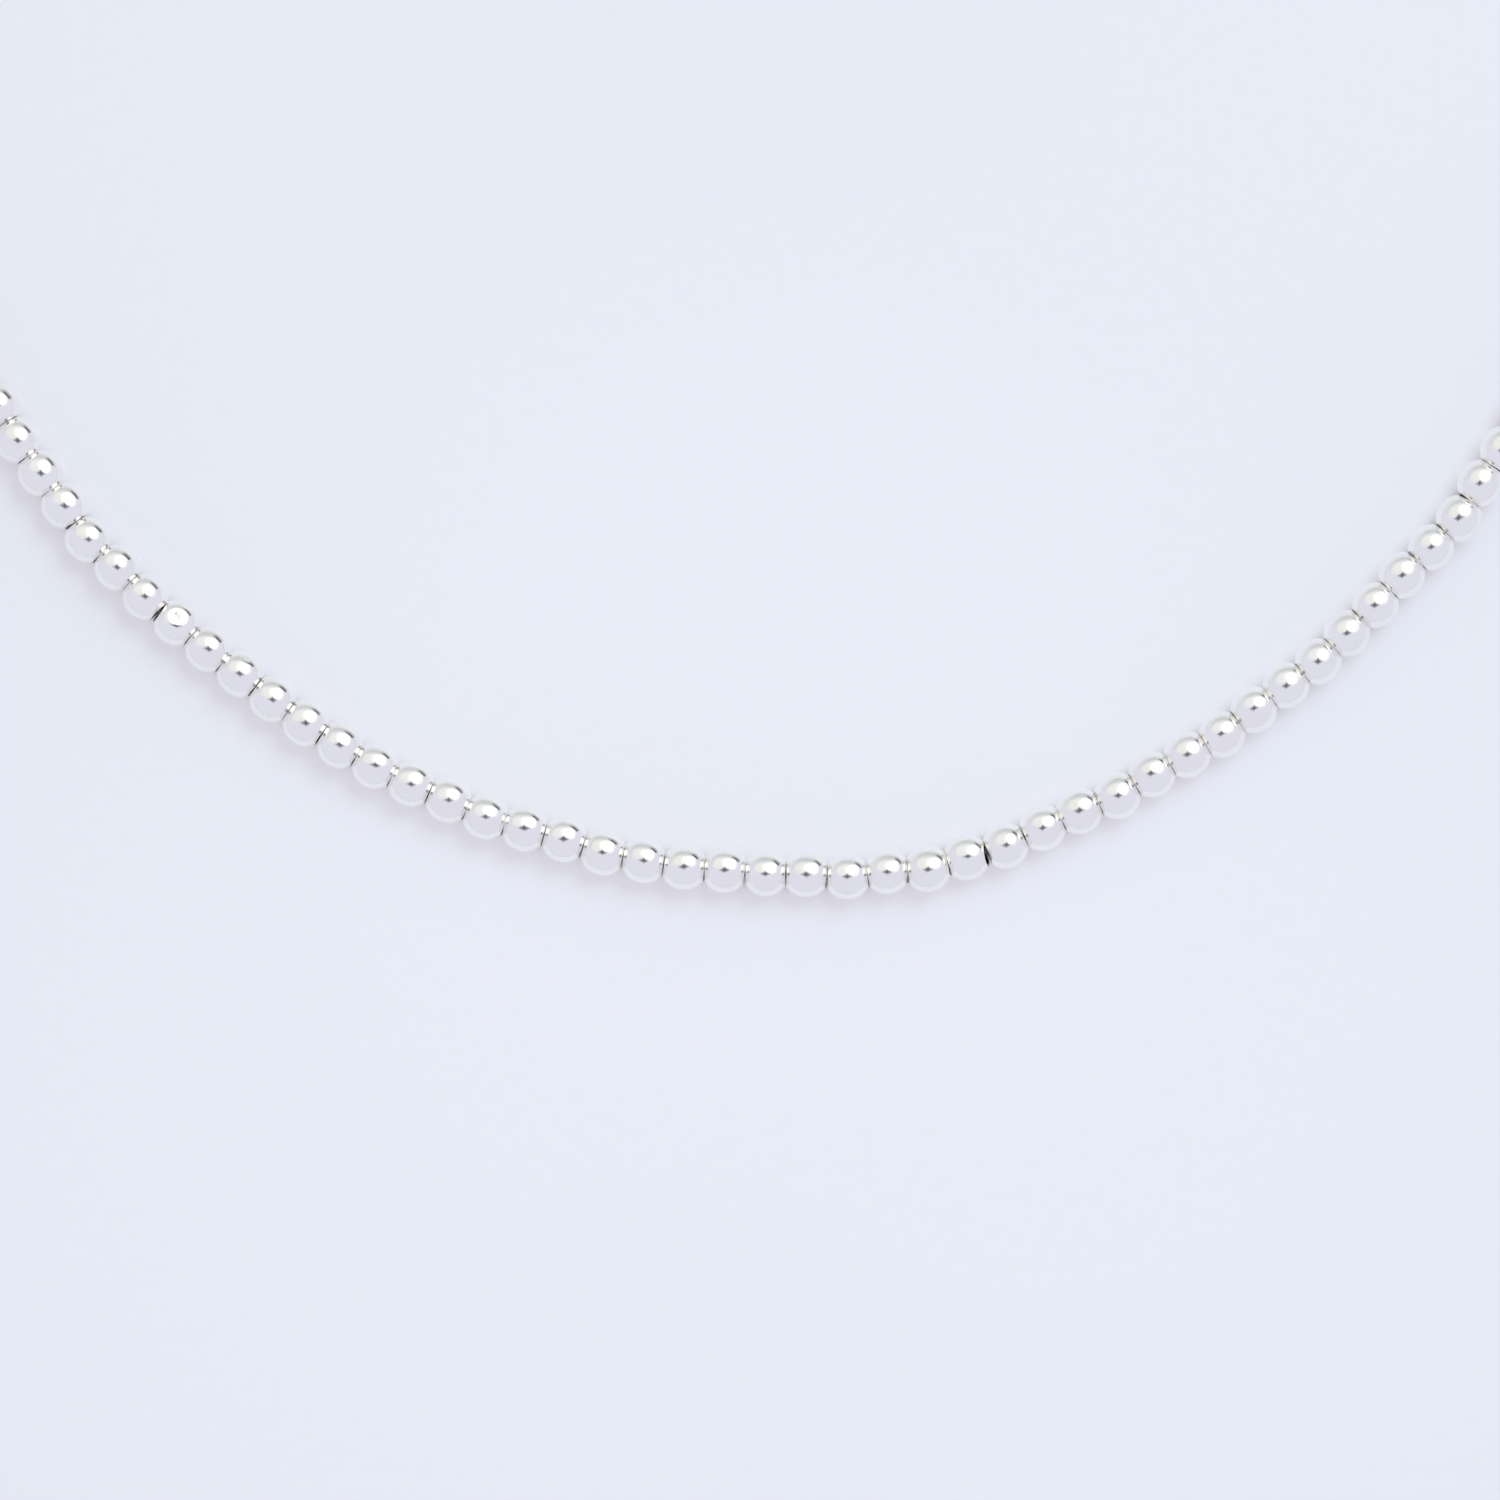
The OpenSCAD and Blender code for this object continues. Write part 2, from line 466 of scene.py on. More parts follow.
def turned(points, heading, pitch):
    """Points turned from the X axis to a heading seen from above, with one end raised by a pitch."""
    raise_end = np.array([
        [math.cos(pitch), 0, -math.sin(pitch)], [0, 1, 0], [math.sin(pitch), 0, math.cos(pitch)]
    ])
    swing = np.array([
        [math.cos(heading), -math.sin(heading), 0], [math.sin(heading), math.cos(heading), 0], [0, 0, 1]
    ])
    return points @ (swing @ raise_end).T


def shift_of(count):
    """How far a bead lies off the string's smooth line, towards the inside of the loop."""
    place = count - FIRST_SHIFTED
    return SHIFTS[place] * 0.01 * MM if 0 <= place < len(SHIFTS) else 0


def kept_short(points, centre, heading, other_centre, other_heading):
    """A bead's points, pressed flat where they reach past the middle of its joint with another bead."""
    toward = other_centre - centre
    facing = np.zeros(3)
    for turn in (heading, other_heading):
        axis = np.array([math.cos(turn), math.sin(turn), 0])
        facing += axis * np.sign(axis @ toward)
    facing = unit(facing)
    past = (points - centre - toward / 2) @ facing + PRESSED_ROOM
    return points - np.clip(past, 0, None)[:, None] * facing


def string_of_beads(name, laid, counts, beads):
    """The beads with these counts as one mesh. A bead's count seeds its own small unevenness."""
    profile = bead_profile(beads)
    rings, segments = len(profile), beads.segments
    ball = round_body(profile, segments)
    radius = beads.diameter / 2
    ball_faces = grid_faces(rings, segments, True)
    belly = beads.belly_rings
    ring_tarnish = np.zeros(rings)
    ring_tarnish[:len(BELLY_TARNISH)] = BELLY_TARNISH[::-1]
    ring_tarnish[belly - len(BELLY_TARNISH):belly] = BELLY_TARNISH
    ring_tarnish[belly:] = HOLE_TARNISH
    vertices, faces, tarnish_and_shade = [], [], []
    for offset, count in enumerate(counts):
        centre, heading = laid[count]
        rng = np.random.default_rng([count, 1])
        raised = math.radians(RAISED_BEADS.get(count, 0))
        points = turned(ball, heading, raised + beads.loose_turn * rng.uniform(-0.5, 0.5))
        directions = unit(points)
        swell = beads.ripple * ripples(directions, rng, *SOFT_WAVES)
        swell += beads.fine_ripple * ripples(directions, rng, *FINE_WAVES)
        for dented, facing, depth, spread in DENTS:
            if dented == count:
                away = np.arccos(np.clip(directions @ unit(np.array(facing, float)), -1, 1))
                swell -= depth * smooth_step(1 - away / spread)
        points = points + directions * (swell * radius)[:, None] + centre
        for neighbour in (count - 1, count + 1):
            if 0 <= neighbour < len(laid):
                points = kept_short(points, centre, heading, *laid[neighbour])
        points[:, 2] = np.maximum(points[:, 2], 0)
        vertices.append(points)
        faces.append(ball_faces + offset * len(ball))
        across = np.array([-math.sin(heading), math.cos(heading), 0])
        # Where the string runs towards the shaded side, both sides of a joint get the same painted shade
        lean = np.clip(2 * across @ PAINTED_SHADE_SIDE, -1, 1) / (beads.lip_diameter / 2)
        grown = (points - centre) @ across * lean - PAINTED_SHADE_GROWS[0]
        shaded_side = smooth_step(grown / (PAINTED_SHADE_GROWS[1] - PAINTED_SHADE_GROWS[0]))
        shade_share = LIT_SIDE_TARNISH + (1 - LIT_SIDE_TARNISH) * shaded_side
        # Tarnish of each ring, times the painted shade that is full on the side away from the lamp
        tarnish_and_shade.append(np.repeat(ring_tarnish, segments) * shade_share)
    piece = new_piece(name, np.concatenate(vertices), np.concatenate(faces))
    ring_of_vertex = np.tile(np.repeat(np.arange(rings), segments), len(counts))
    mark_sharp_rings(piece.data, ring_of_vertex, [0, belly - 1, belly + 2, belly + 3, belly + 4, belly + 5])
    set_shares(piece.data, "tarnish_and_shade", np.concatenate(tarnish_and_shade))
    return piece


def wire_path(step):
    """Points along the middle of the CAD thread, a step apart, from one end in the clasp to the other."""
    points, _ = welded_triangles("thread")
    rings = []
    left = points
    # The points of one ring of the thread lie much closer together than two rings
    while len(left):
        near = np.linalg.norm(left - left[0], axis=1) < 1 * MM
        rings.append(left[near].mean(0))
        left = left[~near]
    rings.sort(key=lambda ring: (math.atan2(ring[1], ring[0]) - math.pi / 2) % math.tau)
    rings = np.array(rings)
    # The thread starts after the gap between its ends in the clasp, which is narrower than any other
    gaps = np.linalg.norm(np.roll(rings, -1, 0) - rings, axis=1)
    rings = np.roll(rings, -int(gaps.argmin()) - 1, 0)
    run = np.concatenate([[0], np.cumsum(np.linalg.norm(np.diff(rings, axis=0), axis=1))])
    slopes = np.gradient(rings, run, axis=0)
    wanted = np.linspace(0, run[-1], int(run[-1] / step) + 1)
    k = np.clip(np.searchsorted(run, wanted, side="right") - 1, 0, len(run) - 2)
    span = (run[k + 1] - run[k])[:, None]
    t = (wanted - run[k])[:, None] / span
    return (
        rings[k] * (2 * t**3 - 3 * t**2 + 1) + slopes[k] * span * (t**3 - 2 * t**2 + t)
        + rings[k + 1] * (3 * t**2 - 2 * t**3) + slopes[k + 1] * span * (t**3 - t**2)
    ), wanted


def close_ends(mesh, rings, segments):
    """Closes both ends of a tube with one flat face each."""
    shell = bmesh.new()
    shell.from_mesh(mesh)
    shell.verts.ensure_lookup_table()
    first = [shell.verts[k] for k in range(segments)]
    last = [shell.verts[(rings - 1) * segments + k] for k in range(segments)]
    shell.faces.new(first)
    shell.faces.new(reversed(last))
    shell.to_mesh(mesh)
    shell.free()


def clasp_profile(clasp, beads, length):
    """Place along the axis and radius of each ring from the bottom of one socket to the other's.

    Also the tarnish of each ring, and the rings along which the shading splits."""
    radius, lip = beads.diameter / 2, beads.lip_diameter / 2
    socket, bevel = clasp.socket_diameter / 2, beads.hole_bevel
    half = length / 2
    shoulder_run = math.sqrt(radius**2 - lip**2)
    dome = half - shoulder_run
    rounding = beads.lip_rounding
    tilt = np.linspace(math.asin(shoulder_run / radius) - 0.04, 0, 12)
    shoulder = [(dome + math.sin(turn) * radius, math.cos(turn) * radius, 0) for turn in tilt]
    groove, depth = clasp.groove_width / 2, clasp.groove_depth
    # From the socket's bottom over the end, the shoulder and the barrel into the groove; then mirrored
    side = [
        (half - clasp.socket_depth, socket, 1),
        (half - bevel, socket, 1),
        (half, socket + bevel, 0.6),
        (half, lip - rounding, 0.3),
        (half - rounding * 0.12, lip - rounding * 0.1, 0.1),
        *shoulder,
        (dome * 0.66, radius, 0), (dome * 0.33, radius, 0),
        (groove + rounding * 2, radius, 0),
        (groove + rounding, radius - rounding * 0.1, 0),
        (groove + rounding * 0.3, radius - rounding * 0.5, 0.1),
        (groove, radius - rounding, 0.4),
        (groove, radius - depth + rounding * 0.6, 0.8),
        (groove - rounding * 0.6, radius - depth, 0.9),
        (groove * 0.2, radius - depth, 0.7),
        (0, radius - depth - rounding * 0.8, 1),
    ]
    rings = side + [(-place, size, shade) for place, size, shade in reversed(side[:-1])]
    table = np.array(rings)
    last = len(rings) - 1
    sharp = [1, 2, 3, last - 3, last - 2, last - 1]
    return table[:, :2], table[:, 2], sharp


def shader_node(tree, kind, **settings):
    """A new node of the tree with these settings."""
    node = tree.nodes.new(kind)
    for name, value in settings.items():
        setattr(node, name, value)
    return node


def set_inputs(node, values):
    for name, value in values.items():
        node.inputs[name].default_value = value
    return node


def new_material(name):
    """An empty material, its tree and its Principled shader."""
    material = bpy.data.materials.new(name)
    material.use_nodes = True
    tree = material.node_tree
    return material, tree, tree.nodes["Principled BSDF"]


def noise(tree, place, scale, detail=2.0):
    """The grey value of a noise of so many waves to a metre."""
    texture = shader_node(tree, "ShaderNodeTexNoise")
    set_inputs(texture, {"Scale": scale, "Detail": detail})
    tree.links.new(place, texture.inputs["Vector"])
    return texture.outputs["Fac"]


def in_range(tree, value, from_range, to_range=(0, 1)):
    """The value stretched from one range to another."""
    stretch = shader_node(tree, "ShaderNodeMapRange")
    set_inputs(stretch, {
        "From Min": from_range[0], "From Max": from_range[1], "To Min": to_range[0], "To Max": to_range[1]
    })
    tree.links.new(value, stretch.inputs["Value"])
    return stretch.outputs["Result"]


def product(tree, first, second):
    """Two grey values multiplied."""
    times = shader_node(tree, "ShaderNodeMath", operation="MULTIPLY")
    tree.links.new(first, times.inputs[0])
    tree.links.new(second, times.inputs[1])
    return times.outputs[0]


def mixed_colour(tree, amount, first, second):
    """Two colours, each a triple or a node's output, mixed by an amount."""
    mix = shader_node(tree, "ShaderNodeMix", data_type="RGBA")
    sockets = [socket for socket in mix.inputs if socket.type == "RGBA"]
    for socket, colour in zip(sockets, (first, second)):
        if isinstance(colour, bpy.types.NodeSocket):
            tree.links.new(colour, socket)
        else:
            socket.default_value = (*colour, 1)
    tree.links.new(amount, mix.inputs["Factor"])
    return next(socket for socket in mix.outputs if socket.type == "RGBA")


def bumped(tree, height, distance, strength, under=None):
    """A normal that follows a height, over another normal if one is given."""
    bump = shader_node(tree, "ShaderNodeBump")
    set_inputs(bump, {"Distance": distance, "Strength": strength})
    tree.links.new(height, bump.inputs["Height"])
    if under is not None:
        tree.links.new(under, bump.inputs["Normal"])
    return bump.outputs["Normal"]


def stretched(tree, place, scale, turn):
    """The place squeezed along one direction, so that a noise on it turns into streaks."""
    mapping = shader_node(tree, "ShaderNodeMapping")
    set_inputs(mapping, {"Scale": scale, "Rotation": turn})
    tree.links.new(place, mapping.inputs["Vector"])
    return mapping.outputs["Vector"]


def silver_material(name, silver):
    """Polished silver: faint clouds of wear, hair scratches, and tarnish where no cloth reaches. The same
    share also carries painted shade on one side of each joint between beads.
    """
    material, tree, shader = new_material(name)
    link = tree.links.new
    shader.inputs["Metallic"].default_value = 1
    place = shader_node(tree, "ShaderNodeTexCoord").outputs["Object"]
    clouds = noise(tree, place, 700, 3)
    worn = mixed_colour(tree, in_range(tree, clouds, (0.45, 0.7)), silver.colour, silver.worn_colour)
    tarnish_and_shade = shader_node(tree, "ShaderNodeAttribute", attribute_name="tarnish_and_shade").outputs["Fac"]
    patchy = product(tree, tarnish_and_shade, in_range(tree, noise(tree, place, 2500, 2), (0.2, 0.6), (0.8, 1)))
    # A little tarnish or painted shade only dulls the silver, and much of it also darkens it
    dark = shader_node(tree, "ShaderNodeMath", operation="POWER")
    dark.inputs[1].default_value = 3
    link(patchy, dark.inputs[0])
    link(mixed_colour(tree, dark.outputs[0], worn, silver.tarnish_colour), shader.inputs["Base Color"])

    rubbed = in_range(tree, noise(tree, place, 1600, 4), (0.35, 0.75), (silver.polish, silver.wear))
    dulled = shader_node(tree, "ShaderNodeMath", operation="MULTIPLY_ADD")
    dulled.inputs[1].default_value = 0.25
    link(patchy, dulled.inputs[0])
    link(rubbed, dulled.inputs[2])
    link(dulled.outputs[0], shader.inputs["Roughness"])

    across = noise(tree, stretched(tree, place, (1, 14, 14), (0.5, 0.3, 0.7)), 2400, 2)
    along = noise(tree, stretched(tree, place, (16, 1, 16), (0.2, 0.9, 0.4)), 2100, 2)
    scratched = bumped(tree, across, 0.001 * MM, 0.5)
    link(bumped(tree, along, 0.001 * MM, 0.5, scratched), shader.inputs["Normal"])
    return material


def steel_material(name, wire):
    """Drawn steel under a thin clear coating, with painted shade in the furrows between its strands."""
    material, tree, shader = new_material(name)
    link = tree.links.new
    set_inputs(shader, {"Metallic": 1, "Coat Weight": 0.3, "Coat Roughness": 0.15})
    place = shader_node(tree, "ShaderNodeTexCoord").outputs["Object"]
    furrow_shade = shader_node(tree, "ShaderNodeAttribute", attribute_name="tarnish_and_shade").outputs["Fac"]
    furrow_shade_colour = tuple(value * 0.35 for value in wire.colour)
    link(mixed_colour(tree, furrow_shade, wire.colour, furrow_shade_colour), shader.inputs["Base Color"])
    link(in_range(tree, noise(tree, place, 4000, 3), (0.3, 0.7), (0.28, 0.45)), shader.inputs["Roughness"])
    link(bumped(tree, noise(tree, place, 9000, 2), 0.004 * MM, 0.4), shader.inputs["Normal"])
    return material


def board_material(name, stage):
    """Smooth pale board with a faint paper grain, which glows a little and less towards its edges as a
    painted falloff of light. Its glow share under the string paints a contact shadow.
    """
    material, tree, shader = new_material(name)
    link = tree.links.new
    set_inputs(shader, {"Roughness": 0.12, "IOR": FLOOR_IOR, "Emission Color": (*stage.floor_glow, 1)})
    # The glow gives way to the gloss where the board is seen from low down
    gloss = shader_node(tree, "ShaderNodeFresnel")
    gloss.inputs["IOR"].default_value = FLOOR_IOR
    from_above = in_range(tree, gloss.outputs["Fac"], (0.04, 1), (1, 0))
    place = shader_node(tree, "ShaderNodeTexCoord").outputs["Object"]
    far = shader_node(tree, "ShaderNodeVectorMath", operation="DISTANCE")
    far.inputs[1].default_value = (*stage.frame_centre, 0)
    link(place, far.inputs[0])
    # Painted falloff of light: the glow thins out towards the board's edges
    fading = in_range(tree, far.outputs["Value"], (20 * MM, 70 * MM), (1, 1 - stage.glow_fall))
    # The glow share of the strip paints the contact shadow under the string, and beside it light thrown
    # back by the beads
    strip_shadow = shader_node(tree, "ShaderNodeAttribute", attribute_name="glow").outputs["Fac"]
    link(product(tree, product(tree, from_above, fading), strip_shadow), shader.inputs["Emission Strength"])
    darker = tuple(value * 0.985 for value in stage.floor_colour)
    grain = noise(tree, place, 900, 2)
    shade = mixed_colour(tree, in_range(tree, grain, (0.3, 0.7)), darker, stage.floor_colour)
    link(shade, shader.inputs["Base Color"])
    link(bumped(tree, grain, 0.01 * MM, 0.15), shader.inputs["Normal"])
    # It shines too evenly for light samples of its own
    material.cycles.emission_sampling = "NONE"
    return material


def glow_material(name, colour, strength):
    """Light of a card that thins out to nothing towards the card's edges."""
    material = bpy.data.materials.new(name)
    material.use_nodes = True
    tree = material.node_tree
    tree.nodes.clear()
    link = tree.links.new
    card = shader_node(tree, "ShaderNodeEmission")
    set_inputs(card, {"Color": (*colour, 1), "Strength": strength})
    beyond = shader_node(tree, "ShaderNodeBsdfTransparent")
    mix = shader_node(tree, "ShaderNodeMixShader")
    link(shader_node(tree, "ShaderNodeAttribute", attribute_name="glow").outputs["Fac"], mix.inputs["Fac"])
    link(beyond.outputs[0], mix.inputs[1])
    link(card.outputs[0], mix.inputs[2])
    link(mix.outputs[0], shader_node(tree, "ShaderNodeOutputMaterial").inputs["Surface"])
    material.cycles.emission_sampling = "NONE"
    return material


def finish_piece(piece, material, slot, *nodes):
    """Dresses a piece and puts it in the place of CAD nodes."""
    piece.data.materials.append(material)
    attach(piece, "root")
    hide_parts(*nodes)


def arc_patch(turns, radii):
    """Places on an arc between two turns in degrees, anticlockwise from the right, and two radii."""
    turn, radius = np.meshgrid(np.radians(np.linspace(*turns, CARD_STEPS)), np.linspace(*radii, CARD_STEPS))
    return np.stack([np.cos(turn) * radius, np.sin(turn) * radius], axis=-1)


def round_patch(middle, reach, fullness):
    """Places from a middle outwards to an edge that reaches so far sideways and up.

    A fullness of 2 gives an ellipse and more a rounded rectangle. 1 gives a diamond and less a star."""
    turn, share = np.meshgrid(np.linspace(0, math.tau, CARD_STEPS), np.linspace(0, 1, CARD_STEPS))
    across, up = np.abs(np.cos(turn)) / reach[0], np.abs(np.sin(turn)) / reach[1]
    radius = share * (across**fullness + up**fullness) ** (-1 / fullness)
    return np.stack([middle[0] + np.cos(turn) * radius, middle[1] + np.sin(turn) * radius], axis=-1)


def edge_fade(fades):
    """A share of 1 inside a patch that falls to 0 over the left, right, lower and upper part of it."""
    left, right, lower, upper = fades
    place = np.linspace(0, 1, CARD_STEPS)

    def side(distance, fade):
        return smooth_step(distance / fade) if fade else np.ones(CARD_STEPS)

    across = side(place, left) * side(1 - place, right)
    up = side(place, lower) * side(1 - place, upper)
    return up[:, None] * across[None, :]


def add_card(stage, name, seen, fades, distance, colour, strength=1):
    """A glowing card in the room, given by where it shows in a bead that is seen from above.

    The places are shares of the bead's radius from its middle. A card lights the beads and is never seen
    itself. The fades are the shares of it over which its light thins out."""
    facing_up = np.sqrt(1 - (seen**2).sum(-1))
    directions = np.stack([
        2 * facing_up * seen[..., 0], 2 * facing_up * seen[..., 1], 2 * facing_up**2 - 1
    ], axis=-1)
    centre = np.array([*stage.frame_centre, 0])
    number = np.arange(CARD_STEPS**2).reshape(CARD_STEPS, CARD_STEPS)
    quads = np.stack([number[:-1, :-1], number[:-1, 1:], number[1:, 1:], number[1:, :-1]], axis=-1)
    card = new_piece(name, (centre + directions * distance).reshape(-1, 3), quads.reshape(-1, 4))
    set_shares(card.data, "glow", edge_fade(fades))
    card.data.materials.append(glow_material(name, colour, strength))
    card.visible_camera = False
    card.visible_shadow = False


def lay_floor(stage):
    """Lays the pale board, with the strip of it that the string covers, which carries the painted contact
    shadow.
    """
    corners = np.array([[-1, -1, 0], [1, -1, 0], [1, 1, 0], [-1, 1, 0]]) * FLOOR_REACH
    floor = new_piece("floor", corners, np.array([[0, 1, 2, 3]]))
    set_shares(floor.data, "glow", np.ones(4))
    board = board_material("pale_board", stage)
    floor.data.materials.append(board)

    middle, run = wire_path(STRIP_STEP)
    aside = unit(np.cross([0, 0, 1], np.gradient(middle, axis=0)))
    offsets, shares = np.array(list(STRIP_SHADOW_AND_BOUNCE.items())).T
    across = aside[:, None] * (offsets * MM)[:, None]
    strip = middle[:, None] * [1, 1, 0] + across + [0, 0, STRIP_HEIGHT]
    # The strip closes under the clasp, where the wire has its two ends
    first = (np.arange(len(run))[:, None] * len(offsets) + np.arange(len(offsets) - 1)).ravel()
    onward = (first + len(offsets)) % (len(run) * len(offsets))
    quads = np.stack([first, onward, onward + 1, first + 1], axis=-1)
    strip_shadow = new_piece("covered_floor", strip.reshape(-1, 3), quads)
    # Its glow shares paint the contact shadow under the string
    set_shares(strip_shadow.data, "glow", np.broadcast_to(shares, (len(run), len(offsets))))
    strip_shadow.data.materials.append(board)


def hang_cards(stage, camera_height):
    """Hangs what the beads reflect: the lamp in its halo, the room round it, and the camera."""
    lamp = round_patch((0.2, 0.28), (0.33, 0.33), 2.3)
    add_card(stage, "soft_lamp", lamp, (0, 0, 0, 0.65), 1.2, stage.lamp_colour, stage.lamp_strength)
    halo = round_patch((0.1, 0.36), (0.36, 0.26), 2.2)
    add_card(stage, "lamp_halo", halo, (0, 0, 0, 1), 1.3, stage.lamp_colour)
    wall = round_patch((-0.14, 0.3), (0.42, 0.33), 2.4)
    add_card(stage, "pale_wall", wall, (0, 0, 0, 0.6), 1.5, stage.wall_colour)
    shade = arc_patch((45, 168), (0.5, HORIZON))
    # The far side is narrower at the left
    shade[..., 0] *= np.where(shade[..., 0] < 0, 0.86, 1)
    add_card(stage, "far_shade", shade, (0.2, 0.25, 1, 0), 1.8, stage.shade_colour)
    stand = arc_patch((33, 74), (0.61, HORIZON))
    add_card(stage, "dark_stand", stand, (0.1, 0.5, 0.5, 0), 1.0, stage.stand_colour)
    below_camera = 0.95 * camera_height
    body = round_patch((0, 0.02), (0.27, 0.17), 0.95)
    add_card(stage, "camera_body", body, (0, 0, 0, 0.8), below_camera, stage.camera_colour)
    grip = round_patch((0, 0.05), (0.07, 0.17), 1.1)
    add_card(stage, "camera_grip", grip, (0, 0, 0, 0.8), below_camera * 0.99, stage.camera_colour)


def hang_soft_box(scene, stage):
    """Hangs the lamp that throws the shadows. The reflections come from the cards alone."""
    data = bpy.data.lights.new("soft_box", "AREA")
    data.size = stage.fill_size
    data.energy = stage.fill_power
    data.color = stage.fill_colour
    box = bpy.data.objects.new("soft_box", data)
    turn, tilt = stage.fill_turn, stage.fill_tilt
    level = math.sin(tilt)
    toward = mathutils.Vector((math.cos(turn) * level, math.sin(turn) * level, math.cos(tilt)))
    box.location = mathutils.Vector((*stage.frame_centre, 0)) + toward * stage.fill_distance
    box.rotation_euler = toward.to_track_quat("Z", "Y").to_euler()
    box.visible_glossy = False
    scene.collection.objects.link(box)


def place_camera(scene, stage, height):
    """Places the camera straight above the frame's centre, at a height above the beads' middle."""
    data = bpy.data.cameras.new("camera")
    data.lens = stage.lens
    data.sensor_width = SENSOR_WIDTH
    data.clip_start = 0.01
    camera = bpy.data.objects.new("camera", data)
    camera.location = (*stage.frame_centre, STRING_HEIGHT / 2 + height)
    scene.collection.objects.link(camera)
    scene.camera = camera


class NECKLACE_OT_set_stage(Operator):
    """Set up the floor, the soft light of the room and the camera above the front of the loop"""

    bl_idname = "necklace.set_stage"
    bl_label = "Set Stage"

    def execute(self, context):
        scene = context.scene
        stage = scene.necklace_stage
        scene.view_settings.view_transform = "Standard"
        scene.view_settings.look = "None"
        world = bpy.data.worlds.new("soft_room")
        world.use_nodes = True
        set_inputs(world.node_tree.nodes["Background"], {"Color": (*stage.room_colour, 1), "Strength": 1})
        scene.world = world
        # At this height the view is as wide at the beads as the frame
        camera_height = stage.frame_width * stage.lens / SENSOR_WIDTH
        lay_floor(stage)
        hang_cards(stage, camera_height)
        hang_soft_box(scene, stage)
        place_camera(scene, stage, camera_height)
        return {"FINISHED"}


class NECKLACE_OT_string_beads(Operator):
    """Model all beads of both halves of the string"""

    bl_idname = "necklace.string_beads"
    bl_label = "String Beads"

    def execute(self, context):
        beads = context.scene.necklace_beads
        material = silver_material("polished_silver", context.scene.necklace_silver)
        laid, (left_count, _) = laid_beads(beads)
        for side, counts in (("left", range(left_count)), ("right", range(left_count, len(laid)))):
            piece = string_of_beads(f"silver_beads_{side}", laid, counts, beads)
            finish_piece(piece, material, "beads", f"bead_string_{side}")
        return {"FINISHED"}


class NECKLACE_OT_lay_wire(Operator):
    """Lay the stranded wire through all beads"""

    bl_idname = "necklace.lay_wire"
    bl_label = "Lay Wire"

    def execute(self, context):
        wire = context.scene.necklace_wire
        segments = 3 * wire.strands
        middle, run = wire_path(WIRE_STEP)
        ahead = unit(np.gradient(middle, axis=0))
        aside = unit(np.cross([0, 0, 1], ahead))
        up = np.cross(ahead, aside)
        turn = np.arange(segments) * math.tau / segments
        around = turn[None, :] + run[:, None] / wire.lay_length * math.tau
        # The furrows stand still in each ring's own numbering, and the ring turns along the wire
        furrow = np.broadcast_to((1 + np.cos(turn * wire.strands)) / 2, around.shape)
        size = wire.diameter / 2 * (1 - wire.strand_depth * furrow)
        vertices = (
            middle[:, None] + aside[:, None] * (np.cos(around) * size)[..., None]
            + up[:, None] * (np.sin(around) * size)[..., None]
        ).reshape(-1, 3)
        piece = new_piece("steel_wire", vertices, grid_faces(len(run), segments, False))
        close_ends(piece.data, len(run), segments)
        # The furrows get painted shade through the share that the steel's material reads
        set_shares(piece.data, "tarnish_and_shade", furrow)
        finish_piece(piece, steel_material("coated_steel", wire), "stringing_wire", "thread")
        return {"FINISHED"}


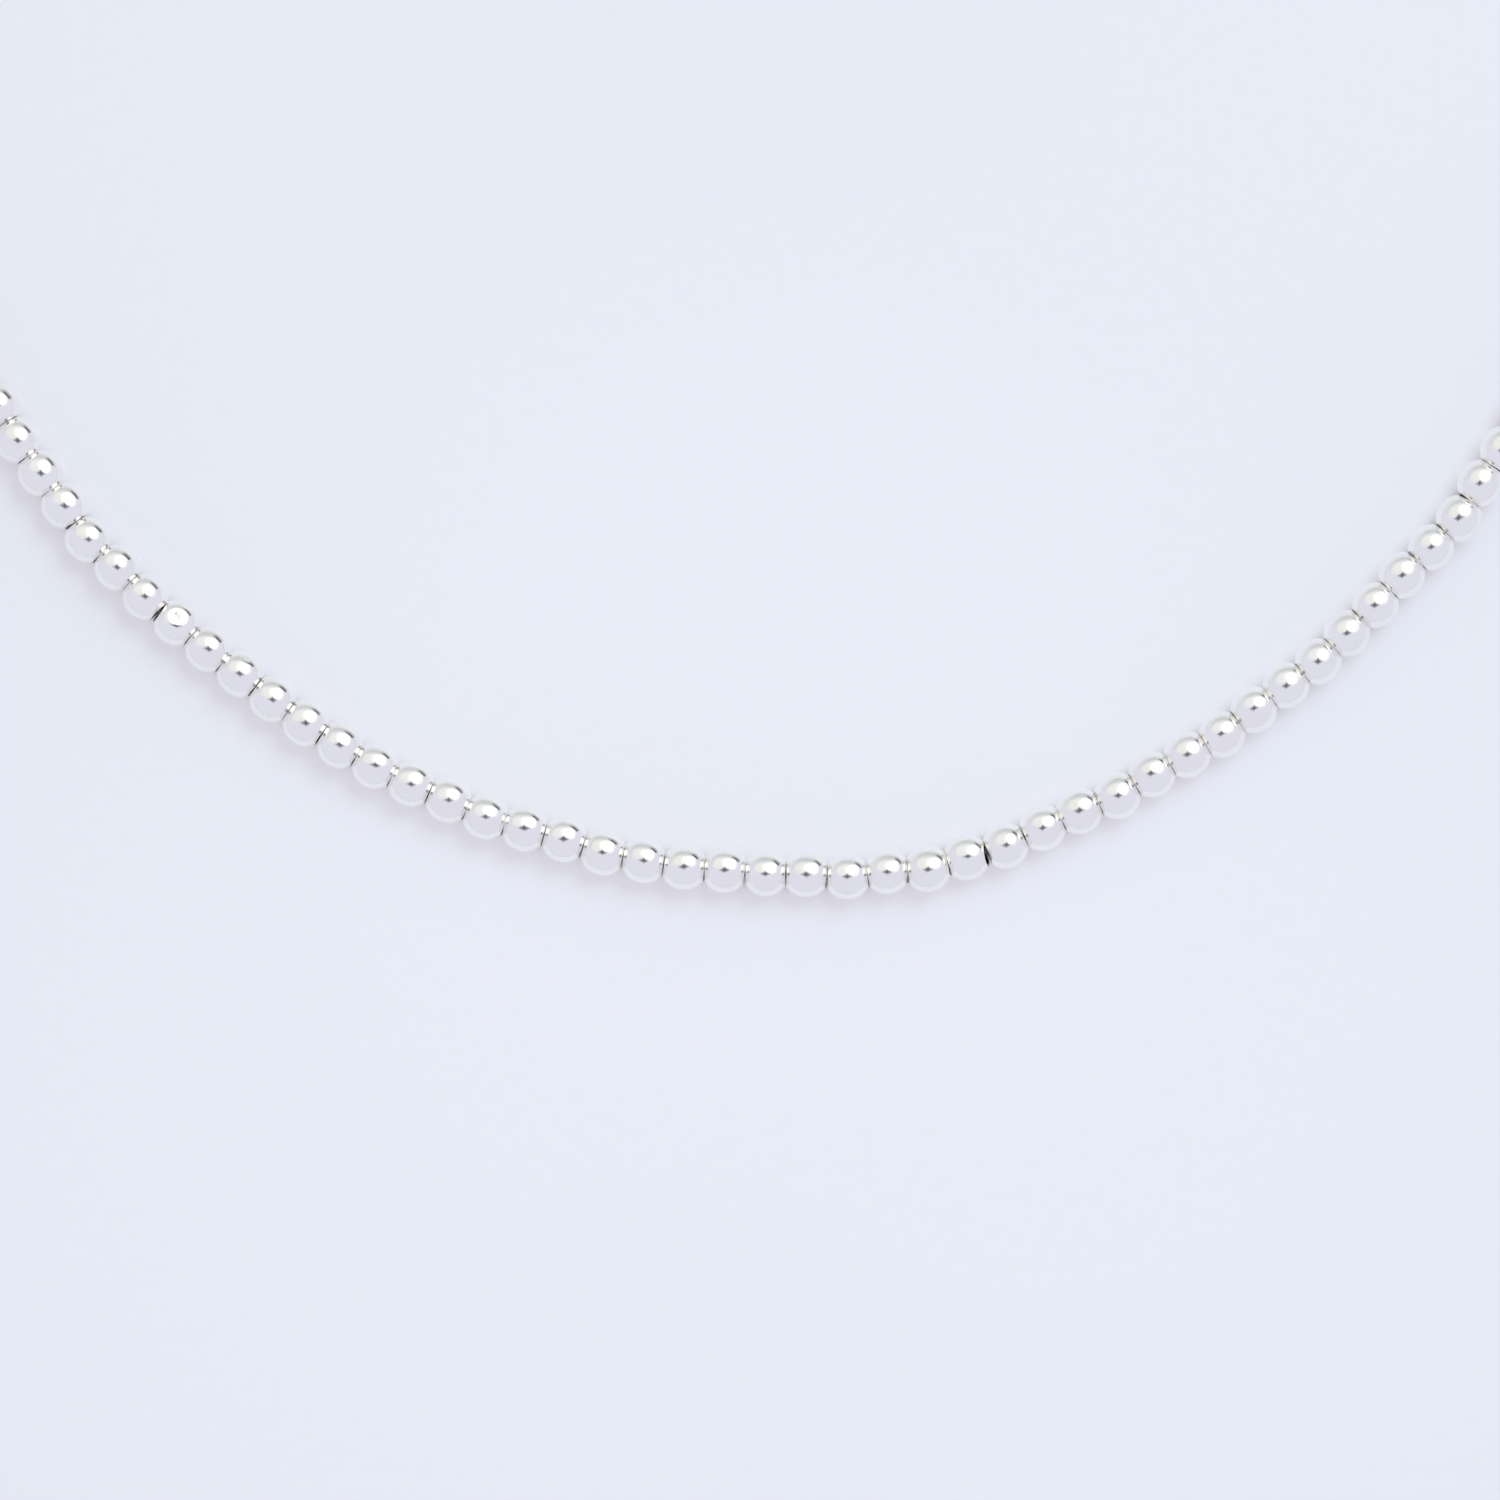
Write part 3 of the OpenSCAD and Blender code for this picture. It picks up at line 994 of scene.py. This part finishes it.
class NECKLACE_OT_close_clasp(Operator):
    """Turn the plain barrel clasp that closes the loop at the back"""

    bl_idname = "necklace.close_clasp"
    bl_label = "Close Clasp"

    def execute(self, context):
        clasp = context.scene.necklace_clasp
        points, triangles = welded_triangles("clasp")
        middles, _, areas = surface(points, triangles)
        centre = (middles * areas[:, None]).sum(0) / areas.sum()
        offsets = points - centre
        _, axes = np.linalg.eigh(offsets.T @ offsets)
        length = np.ptp(offsets @ axes[:, 2])
        profile, shade, sharp = clasp_profile(clasp, context.scene.necklace_beads, length)
        rings, segments = len(profile), clasp.segments
        heading = math.atan2(axes[1, 2], axes[0, 2])
        barrel = turned(round_body(profile, segments), heading, 0) + centre
        piece = new_piece("barrel_clasp", barrel, grid_faces(rings, segments, False))
        close_ends(piece.data, rings, segments)
        ring_of_vertex = np.repeat(np.arange(rings), segments)
        mark_sharp_rings(piece.data, ring_of_vertex, sharp)
        set_shares(piece.data, "tarnish_and_shade", shade[ring_of_vertex])
        material = silver_material("clasp_silver", context.scene.necklace_silver)
        finish_piece(piece, material, "clasp", "clasp")
        return {"FINISHED"}


class NECKLACE_PT_settings(Panel):
    """Sizes and colours of the necklace and its stage"""

    bl_label = "Silver Bead Necklace"
    bl_space_type = "VIEW_3D"
    bl_region_type = "UI"
    bl_category = "Necklace"

    def draw(self, context):
        for title, group_name, operator in SECTIONS:
            box = self.layout.box()
            box.label(text=title)
            group = getattr(context.scene, group_name)
            for name in group.bl_rna.properties.keys():
                if name not in ("rna_type", "name"):
                    box.prop(group, name)
            if operator:
                box.operator(operator)


SECTIONS = (
    ("Stage", "necklace_stage", "necklace.set_stage"),
    ("Beads", "necklace_beads", "necklace.string_beads"),
    ("Wire", "necklace_wire", "necklace.lay_wire"),
    ("Clasp", "necklace_clasp", "necklace.close_clasp"),
    ("Silver", "necklace_silver", None),
)
SETTINGS = {
    "necklace_stage": StageSettings,
    "necklace_beads": BeadSettings,
    "necklace_wire": WireSettings,
    "necklace_clasp": ClaspSettings,
    "necklace_silver": SilverSettings,
}
CLASSES = (
    *SETTINGS.values(),
    NECKLACE_OT_set_stage,
    NECKLACE_OT_string_beads,
    NECKLACE_OT_lay_wire,
    NECKLACE_OT_close_clasp,
    NECKLACE_PT_settings,
)


def register():
    for cls in CLASSES:
        bpy.utils.register_class(cls)
    for name, settings in SETTINGS.items():
        setattr(bpy.types.Scene, name, PointerProperty(type=settings))


def unregister():
    for name in SETTINGS:
        delattr(bpy.types.Scene, name)
    for cls in reversed(CLASSES):
        bpy.utils.unregister_class(cls)


def main():
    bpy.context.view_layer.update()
    register()
    bpy.ops.necklace.set_stage()
    bpy.ops.necklace.string_beads()
    bpy.ops.necklace.lay_wire()
    bpy.ops.necklace.close_clasp()


if __name__ == "__main__":
    main()
